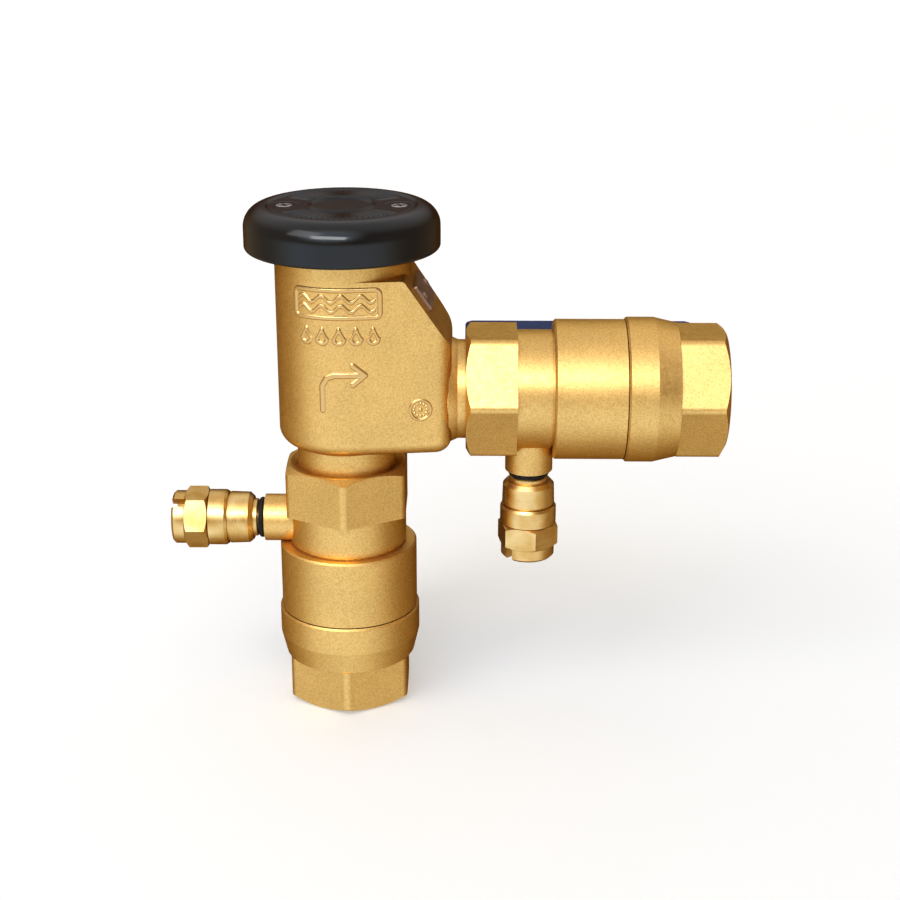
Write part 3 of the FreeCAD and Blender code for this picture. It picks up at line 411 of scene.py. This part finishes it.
def black_rubber():
    """Matte seal rubber with a talc bloom in its pores."""
    look = Shader("black_rubber", (0.010, 0.010, 0.010), 0.6, 0.0, Specular_IOR_Level=0.2)
    bloom = look.noise(1100.0, 4.0, 0.6)
    look.set("Base Color", look.blend(look.between(bloom, 0.0, 1.0, 0.45, 0.75), (0.006, 0.006, 0.006),
                                      (0.022, 0.020, 0.018)))
    look.set("Normal", look.bump(bloom, 0.25, 0.04 * MM))
    return look.material


def dress(nodes, material):
    """Give CAD nodes one material."""
    for name in nodes:
        mesh = frame["nodes"][name].data
        mesh.materials.clear()
        mesh.materials.append(material)


def both(*words):
    """Node names of the same part on the inlet valve and the outlet valve."""
    return [f"{side}_{word}" for side in ("inlet", "outlet") for word in words]


# ---------------------------------------------------------------- operators: finishes


class BREAKER_OT_castings(bpy.types.Operator):
    """Give the body, the valve bodies and the end adapters their blasted brass"""
    bl_idname = "breaker.castings"
    bl_label = "Cast brass"

    def execute(self, context):
        dress(["body", *both("valve_body", "end_adapter")], cast_brass())
        return {"FINISHED"}


class BREAKER_OT_turned_parts(bpy.types.Operator):
    """Give the turned brass parts tool rings round their own axes"""
    bl_idname = "breaker.turned_parts"
    bl_label = "Turned brass"

    def execute(self, context):
        dress(["inlet_testcock_body", "inlet_testcock_plug"], turned_brass("turned_brass_x", "X"))
        dress(["outlet_testcock_body", "outlet_testcock_plug", "bonnet", "check_seat"],
              turned_brass("turned_brass_z", "Z"))
        dress(both("stem", "gland_nut"), turned_brass("turned_brass_y", "Y"))
        return {"FINISHED"}


class BREAKER_OT_canopy(bpy.types.Operator):
    """Give the canopy its gloss black"""
    bl_idname = "breaker.canopy"
    bl_label = "Canopy"

    def execute(self, context):
        dress(["canopy"], canopy_plastic())
        return {"FINISHED"}


class BREAKER_OT_handles(bpy.types.Operator):
    """Give the handles their blue dip"""
    bl_idname = "breaker.handles"
    bl_label = "Handles"

    def execute(self, context):
        dress(both("handle"), dipped_vinyl())
        return {"FINISHED"}


class BREAKER_OT_small_parts(bpy.types.Operator):
    """Give seals, seats, springs, screws, balls and the tag plate their finishes"""
    bl_idname = "breaker.small_parts"
    bl_label = "Small parts"

    def execute(self, context):
        steel = bright_steel()
        dress(["canopy_screws", "check_disc_washer", "check_screw", "check_spring",
               "float_spring", *both("handle_nut")], steel)
        dress(["nameplate", "nameplate_pins"], plate_metal())
        dress(both("ball"), chrome_plate())
        dress(both("seat_upstream", "seat_downstream", "thrust_washer", "stem_packing"),
              smooth_plastic("seat_plastic", (0.86, 0.86, 0.84), 0.4))
        dress(["check_poppet", "check_guide", "float"],
              smooth_plastic("valve_plastic", (0.66, 0.65, 0.6), 0.45))
        dress(["check_seat_oring", "check_disc", "float_disc", "bonnet_oring",
               *both("adapter_oring", "testcock_washer", "testcock_oring")], black_rubber())
        return {"FINISHED"}


# ---------------------------------------------------------------- operators: pieces


def thread_sleeve(name, origin, axis, radius, depth, pitch, height):
    """A closed sleeve with a helical thread inside, starting at origin and running along axis.

    The outside is a cylinder of the given radius. The inside is the radius less a skin and a triangle wave
    of the phase along / pitch - turn, cut flat at crest and root, and faded out over half a pitch at each
    end.
    """
    settings = bpy.context.scene.breaker_threads
    rows = int(depth / pitch * settings.steps_per_pitch)
    skin = 0.08 * MM
    flat = 0.125

    def surface(u, v):
        turn = 2 * np.pi * v
        half = u < 0.5
        along = np.where(half, u * 2, 2 - u * 2) * depth
        phase = along / pitch - v
        wave = 1 - np.abs(2 * (phase - np.floor(phase)) - 1)
        wave = np.clip(wave * (1 + 2 * flat) - flat, 0, 1)
        fade = np.clip(np.minimum(along, depth - along) / (0.5 * pitch), 0, 1)
        r = np.where(half, radius - (skin + height * wave * fade), radius)
        return to_axis(r * np.cos(turn), r * np.sin(turn), along, origin, axis)

    return tube(name, surface, 2 * rows, settings.steps_around)


class BREAKER_OT_threads(bpy.types.Operator):
    """Cut the pipe threads in both valve ends and in both test cocks"""
    bl_idname = "breaker.threads"
    bl_label = "Threads"

    def execute(self, context):
        settings = context.scene.breaker_threads
        look = {axis: turned_brass(f"thread_brass_{axis.lower()}", axis) for axis in "XZ"}
        end_gap, wall_gap = 0.1 * MM, 0.02 * MM
        for name in ("inlet_thread", "outlet_thread", "inlet_testcock_outlet", "outlet_testcock_outlet"):
            mount = MOUNTS[name]
            cock = "testcock" in name
            side = name.split("_")[0]
            out = Vector(mount["axis"])
            if cock:
                pitch, height = settings.cock_pitch, settings.cock_height
                lead, depth = settings.cock_lead, settings.cock_depth
            else:
                pitch, height = settings.pipe_pitch, settings.pipe_height
                lead, depth = 0.0, mount["dims"]["length_mm"] * MM
            start = Vector(mount["pos_m"]) + out * (lead - end_gap)
            radius = mount["dims"]["r_mm"] * MM - wall_gap
            piece = thread_sleeve(f"{name}_rings", start, -out, radius, depth - 2 * end_gap, pitch, height)
            piece.data.materials.append(look["X" if abs(out.x) > 0.5 else "Z"])
            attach(piece, f"{side}_testcock_plug_set" if cock else "casting")
        return {"FINISHED"}


def wall_point(s, z, lift):
    """A point of the body's front wall, s along it from where its round part meets its straight part.

    To the right, s > 0, the wall runs straight and turns in by the taper. To the left it follows the
    round, at the angle taper + s / radius from the front. lift is the height off the wall.
    """
    radius = -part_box("body")[0][0]
    taper = bpy.context.scene.breaker_relief.wall_taper
    angle = taper + np.minimum(s, 0.0) / radius
    reach, run = radius + lift, np.maximum(s, 0.0)
    return run * np.cos(taper) + reach * np.sin(angle), run * np.sin(taper) - reach * np.cos(angle), z


def line_distance(x, y, ends):
    """Distance to the nearest of a chain of straight segments."""
    best = np.full(np.shape(x), np.inf)
    for (ax, ay), (bx, by) in zip(ends[:-1], ends[1:]):
        dx, dy = bx - ax, by - ay
        t = np.clip(((x - ax) * dx + (y - ay) * dy) / (dx * dx + dy * dy), 0, 1)
        best = np.minimum(best, np.hypot(x - ax - t * dx, y - ay - t * dy))
    return best


def box_distance(x, y, half_x, half_y, corner):
    """Signed distance to a rectangle with rounded corners, negative inside."""
    qx, qy = np.abs(x) - half_x + corner, np.abs(y) - half_y + corner
    return np.hypot(np.maximum(qx, 0), np.maximum(qy, 0)) + np.minimum(np.maximum(qx, qy), 0) - corner


def raised(distance, width):
    """Height from 0 to 1 of a cast line: full on its middle, then a smooth step down to its edge.

    The slope takes up the outer 1 / steepness of the width.
    """
    steepness = 1.6
    t = np.clip(np.clip(1.0 - distance / width, 0, 1) * steepness, 0, 1)
    return t ** 2 * (3 - 2 * t)


def relief_patch(name, centre, half_s, half_z, height_at):
    """A closed slab let into the front wall; height_at(s, z), counted from its centre, raises its face."""
    settings = bpy.context.scene.breaker_relief
    step = settings.grid_step
    rows, cols = int(2 * half_z / step) + 1, int(2 * half_s / step) + 1
    z, s = np.meshgrid(np.linspace(-half_z, half_z, rows), np.linspace(-half_s, half_s, cols),
                       indexing="ij")
    sunk = 0.12 * MM
    lift = height_at(s, z) * (settings.height + sunk) - sunk
    border = np.zeros_like(lift, dtype=bool)
    border[[0, -1], :] = True
    border[:, [0, -1]] = True
    lift[border] = -sunk
    front = np.stack(wall_point(centre[0] + s, centre[1] + z, lift), axis=-1).reshape(-1, 3)
    back = np.stack(wall_point(centre[0] + s, centre[1] + z, np.full_like(lift, -3 * sunk)), axis=-1)
    faces = grid_faces(rows, cols)
    rim = np.concatenate([np.arange(cols), np.arange(1, rows) * cols + cols - 1,
                          (rows - 1) * cols + np.arange(cols - 2, -1, -1),
                          np.arange(rows - 2, 0, -1) * cols])
    ahead = np.roll(rim, -1)
    count = rows * cols
    sides = np.stack([rim, rim + count, ahead + count, ahead], axis=1)
    quads = np.concatenate([faces, faces[:, ::-1] + count, sides])
    piece = mesh_object(name, np.concatenate([front, back.reshape(-1, 3)]), quads)
    piece.data.materials.append(bpy.data.materials["cast_brass"])
    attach(piece, "casting")


class BREAKER_OT_relief(bpy.types.Operator):
    """Raise the cast marks on the body's front: wave panel, row of drops, flow arrow and date clock"""
    bl_idname = "breaker.relief"
    bl_label = "Cast relief"

    def execute(self, context):
        settings = context.scene.breaker_relief
        width = settings.line_width

        def panel(s, z):
            """Frame of a rounded rectangle with two wavy lines in it.

            The frame goes by the distance to the rectangle, a line by the distance of z from a sine of s.
            """
            half_s, half_z, swing, level = 13.0 * MM, 3.4 * MM, 1.1 * MM, 1.6 * MM
            marks = raised(np.abs(box_distance(s, z, 14.4 * MM, 4.6 * MM, 1.6 * MM)), width * 0.8)
            inside = box_distance(s, z, half_s, half_z, 1.0 * MM) < 0
            sweep = swing * np.sin(2 * np.pi * settings.wave_count * s / (2 * half_s))
            for side in (-1, 1):
                line = raised(np.abs(z - side * level - sweep), width * 0.8)
                marks = np.maximum(marks, inside * line)
            return marks

        def drops(s, z):
            """A row of water drops: in each cell, the outline of a round drawn out to a point on top."""
            cell, reach, count = 5.6 * MM, 1.7 * MM, 5
            local = (s + cell / 2) % cell - cell / 2
            narrowed = local * (1.0 + np.clip(z / (2.6 * MM), 0, 1) * 1.1)
            lowered = np.where(z > 0, z * 0.62, z)
            outline = np.abs(np.hypot(narrowed, lowered) - reach)
            return raised(outline, width * 0.75) * (np.abs(s) < cell * count / 2)

        def arrow(s, z):
            """Flow arrow that comes up and turns right: a chain of segments and two short barbs."""
            stem = MM * np.array([(-6.0, -7.5), (-6.0, 1.0), (-4.5, 3.5), (-2.0, 4.5), (8.0, 4.5)])
            barbs = MM * np.array([(4.2, 7.8), (8.2, 4.5), (4.2, 1.2)])
            return raised(np.minimum(line_distance(s, z, stem), line_distance(s, z, barbs)), width)

        def clock(s, z):
            """Casting date clock: a ring, a hub, and a dot at the nearest of twelve clock positions."""
            ring_reach, dot_reach, dot, hub = 3.4 * MM, 2.2 * MM, 0.55 * MM, 0.9 * MM
            reach, turn = np.hypot(s, z), np.arctan2(z, s)
            ring = raised(np.abs(reach - ring_reach), width * 0.55)
            sector = np.pi / 6
            near = (turn + sector / 2) % sector - sector / 2
            dots = raised(np.hypot(reach * np.cos(near) - dot_reach, reach * np.sin(near)), dot)
            return np.maximum(np.maximum(ring, dots), raised(reach, hub))

        relief_patch("wave_panel", (-3.9 * MM, 149.2 * MM), 15.6 * MM, 5.8 * MM, panel)
        relief_patch("drop_row", (-3.1 * MM, 137.6 * MM), 15.0 * MM, 4.8 * MM, drops)
        relief_patch("flow_arrow", (-3.0 * MM, 120.6 * MM), 10.6 * MM, 9.8 * MM, arrow)
        relief_patch("date_clock", (23.4 * MM, 112.4 * MM), 4.4 * MM, 4.4 * MM, clock)
        return {"FINISHED"}


class BREAKER_OT_canopy_ribs(bpy.types.Operator):
    """Mould the low rings and the two fans of ribs on top of the canopy"""
    bl_idname = "breaker.canopy_ribs"
    bl_label = "Canopy ribs"

    def execute(self, context):
        """A round slab let into the top, raised by a comb of the turn inside a ring, less two screw wells.

        The section runs from the middle out along the face and back along the underside, then once round.
        """
        shape = context.scene.breaker_canopy
        rows, cols = 125, 384
        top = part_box("canopy")[1][2] - shape.dish_depth
        u, v = np.meshgrid(np.linspace(0, 2, 2 * rows), np.arange(cols) / cols, indexing="ij")
        upper = u <= 1
        reach, turn = np.where(upper, u, 2 - u) * shape.rib_reach, 2 * np.pi * v
        x, y = reach * np.cos(turn), reach * np.sin(turn)
        fan = np.clip((np.abs(np.sin(turn)) - 0.5) * 8, 0, 1)
        beat = np.abs(v * shape.rib_count % 1 - 0.5) * 2
        bars = np.clip(1.6 - 2.4 * beat, 0, 1) * fan
        edge = 0.4 * MM
        inside = (np.clip((reach - shape.rib_start) / edge, 0, 1)
                  * np.clip((shape.rib_end - reach) / edge, 0, 1))
        rings = np.clip(1.4 - np.abs(reach - shape.ring_reach) / edge, 0, 1)
        well = np.minimum(*[np.hypot(x - side * shape.screw_spread, y) for side in (-1, 1)])
        clear = np.clip((well - shape.well_reach) / edge, 0, 1)
        rim = np.clip((shape.rib_reach - reach) / edge, 0, 1)
        skin = 0.06 * MM
        lift = (np.maximum(bars * inside, rings) * shape.rib_height + 2 * skin) * clear * rim - skin
        z = top + np.where(upper, lift, -4 * skin)
        points = np.stack([x, y, z], axis=-1).reshape(-1, 3)
        piece = mesh_object("canopy_ribs", points, grid_faces(2 * rows, cols, True, True)[:, ::-1])
        piece.data.materials.append(bpy.data.materials["canopy_plastic"])
        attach(piece, "casting")
        return {"FINISHED"}


class BREAKER_OT_springs(bpy.types.Operator):
    """Wind the two springs again as round wire coils in the place of the CAD springs, which are hidden"""
    bl_idname = "breaker.springs"
    bl_label = "Springs"

    def execute(self, context):
        for node, joint, travel, wire, turns in (
            ("check_spring", "check_lift", 7.0 * MM, 0.6 * MM, 5),
            ("float_spring", "float_lift", 5.0 * MM, 0.4 * MM, 5),
        ):
            low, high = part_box(node)
            piece = coil(f"{node}_coil", high[0] - wire, wire, low[2], high[2], turns)
            piece.data.materials.append(bpy.data.materials["bright_steel"])
            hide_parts(node)
            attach(piece, "casting")
            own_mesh(piece)
        return {"FINISHED"}


# ---------------------------------------------------------------- operator: stage


class BREAKER_OT_stage(bpy.types.Operator):
    """Lay the pale floor, hang the soft lights and set the camera"""
    bl_idname = "breaker.stage"
    bl_label = "Stage"

    def execute(self, context):
        stage = context.scene.breaker_stage
        self.floor(stage)
        self.lights()
        self.camera(context, stage)
        context.scene.view_settings.view_transform = "Standard"
        return {"FINISHED"}

    def floor(self, stage):
        """A flat floor that curves up far behind: height is zero, then part of a circle."""
        rows, cols, half, near, far = 40, 3, 3.0, -1.6, 4.0
        bend_start, bend_radius, gap = 2.0, 1.6, 0.05 * MM
        u, v = np.meshgrid(np.linspace(near, far, rows), np.linspace(-half, half, cols), indexing="ij")
        bend = np.clip((u - bend_start) / bend_radius, 0, np.pi / 2)
        y = np.where(u < bend_start, u, bend_start + bend_radius * np.sin(bend))
        z = np.where(u < bend_start, 0.0, bend_radius * (1 - np.cos(bend)))
        points = np.stack([v, y, z - gap], axis=-1).reshape(-1, 3)
        floor = mesh_object("floor", points, grid_faces(rows, cols)[:, ::-1])
        look = Shader("floor_paper", (stage.floor_shade,) * 3, 0.6, Emission_Strength=stage.floor_glow)
        look.set("Emission Color", (0.84, 0.96, 1.0, 1.0))
        # Painted shade and light: the floor's colour runs darker towards the front, where the lamps light
        # it most, and lighter far behind, so that it comes out evenly bright.
        away = look.add("SeparateXYZ", {"Vector": look.place}).outputs["Y"]
        dim, bright = (stage.floor_shade * 0.94,) * 3, (stage.floor_shade * 1.1,) * 3
        look.set("Base Color", look.blend(look.between(away, 0.0, 1.0, -0.3, 0.6), dim, bright))
        fibre = look.noise(60.0, 4.0)
        look.set("Roughness", look.between(fibre, 0.55, 0.7))
        floor.data.materials.append(look.material)
        floor.visible_glossy = False

    def lights(self):
        """A studio round the object: bright in front, dim behind and below, warmer where it is dimmer."""
        world = bpy.data.worlds.new("studio")
        bpy.context.scene.world = world
        world.use_nodes = True
        self.tree = world.node_tree
        ahead = self.lobe((-0.08, -0.995, 0.0), -0.1, 1.0, 1.0)
        below = self.lobe((0.0, 0.0, -1.0), -0.1, 0.15, 0.8)
        crown = self.lobe((0.0, 0.3, 0.954), 0.4, 0.95, 0.8)
        light = self.sum("MULTIPLY", ahead, self.sum("ADD", below, 0.16))
        for way, start, end, strength in (
            ((-0.17, -0.72, 0.67), 0.74, 0.97, 1.15),
            ((0.0, -0.2, -0.98), 0.2, 1.0, 0.35),
            ((-1.0, 0.0, 0.0), 0.3, 0.9, 0.32),
            ((1.0, 0.0, 0.0), 0.3, 0.9, 0.24),
        ):
            light = self.sum("ADD", light, self.lobe(way, start, end, strength))
        light = self.sum("ADD", light, 0.075)
        tone = self.tree.nodes.new("ShaderNodeCombineColor")
        for channel, power in (("Red", 1.0), ("Green", 1.4), ("Blue", 2.15)):
            shade = self.sum("ADD", self.sum("POWER", light, power), crown)
            self.tree.links.new(shade, tone.inputs[channel])
        self.tree.links.new(tone.outputs[0], self.tree.nodes["Background"].inputs["Color"])
        for name, spot, wide, deep, power in (
            ("overhead", (-0.15, -0.70, 0.64), 0.56, 0.22, 4.0),
            ("key", (-0.55, -0.45, 0.85), 0.5, 0.5, 2.0),
        ):
            lamp = bpy.data.lights.new(name, "AREA")
            lamp.shape = "RECTANGLE"
            lamp.size, lamp.size_y = wide, deep
            lamp.energy = power
            holder = bpy.data.objects.new(name, lamp)
            holder.location = spot
            down = Vector((0.03, 0, 0.09)) - holder.location
            holder.rotation_euler = down.to_track_quat("-Z", "Y").to_euler()
            holder.visible_diffuse = name == "key"
            bpy.context.scene.collection.objects.link(holder)

    def lobe(self, way, start, end, strength):
        """A soft patch of sky: rises from 0 to strength as the view direction turns towards way."""
        nodes, links = self.tree.nodes, self.tree.links
        turn = nodes.new("ShaderNodeVectorMath")
        turn.operation = "DOT_PRODUCT"
        links.new(nodes.new("ShaderNodeTexCoord").outputs["Generated"], turn.inputs[0])
        turn.inputs[1].default_value = way
        ramp = nodes.new("ShaderNodeMapRange")
        ramp.interpolation_type = "SMOOTHSTEP"
        links.new(turn.outputs["Value"], ramp.inputs["Value"])
        span = {"From Min": start, "From Max": end, "To Min": 0.0, "To Max": strength}
        for socket, number in span.items():
            ramp.inputs[socket].default_value = number
        return ramp.outputs["Result"]

    def sum(self, operation, first, second):
        """The result of one arithmetic node; second may be a number or a socket."""
        node = self.tree.nodes.new("ShaderNodeMath")
        node.operation = operation
        self.tree.links.new(first, node.inputs[0])
        if isinstance(second, bpy.types.NodeSocket):
            self.tree.links.new(second, node.inputs[1])
        else:
            node.inputs[1].default_value = second
        return node.outputs[0]

    def camera(self, context, stage):
        """A camera that looks down at the aim point along the stage's azimuth and elevation."""
        aim = Vector((35.7 * MM, 0.0, 91.1 * MM))
        az, el = stage.azimuth, stage.elevation
        ahead = Vector((math.sin(az) * math.cos(el), math.cos(az) * math.cos(el), -math.sin(el)))
        lens = bpy.data.cameras.new("camera")
        lens.lens = stage.lens
        lens.sensor_width = 36.0
        holder = bpy.data.objects.new("camera", lens)
        holder.location = aim - ahead * stage.distance
        holder.rotation_euler = ahead.to_track_quat("-Z", "Y").to_euler()
        context.scene.collection.objects.link(holder)
        context.scene.camera = holder


class BREAKER_PT_panel(bpy.types.Panel):
    """Sidebar list of the finishes and pieces"""
    bl_idname = "BREAKER_PT_panel"
    bl_label = "Vacuum Breaker"
    bl_space_type = "VIEW_3D"
    bl_region_type = "UI"
    bl_category = "Breaker"

    def draw(self, context):
        for operator in OPERATORS:
            self.layout.operator(operator.bl_idname)
        for group in SETTINGS:
            box = self.layout.box()
            settings = getattr(context.scene, group)
            for name in settings.bl_rna.properties.keys():
                if name not in ("rna_type", "name"):
                    box.prop(settings, name)


SETTINGS = {
    "breaker_finish": BreakerFinish,
    "breaker_threads": BreakerThreads,
    "breaker_relief": BreakerRelief,
    "breaker_canopy": BreakerCanopy,
    "breaker_stage": BreakerStage,
}
OPERATORS = (
    BREAKER_OT_castings,
    BREAKER_OT_turned_parts,
    BREAKER_OT_canopy,
    BREAKER_OT_handles,
    BREAKER_OT_small_parts,
    BREAKER_OT_threads,
    BREAKER_OT_relief,
    BREAKER_OT_canopy_ribs,
    BREAKER_OT_springs,
    BREAKER_OT_stage,
)


def register():
    for thing in (*SETTINGS.values(), *OPERATORS, BREAKER_PT_panel):
        bpy.utils.register_class(thing)
    for name, group in SETTINGS.items():
        setattr(bpy.types.Scene, name, bpy.props.PointerProperty(type=group))


def unregister():
    for name in SETTINGS:
        delattr(bpy.types.Scene, name)
    for thing in (BREAKER_PT_panel, *reversed(OPERATORS), *SETTINGS.values()):
        bpy.utils.unregister_class(thing)


def main():
    register()
    for operator in OPERATORS:
        group, name = operator.bl_idname.split(".")
        getattr(getattr(bpy.ops, group), name)()


if __name__ == "__main__":
    main()
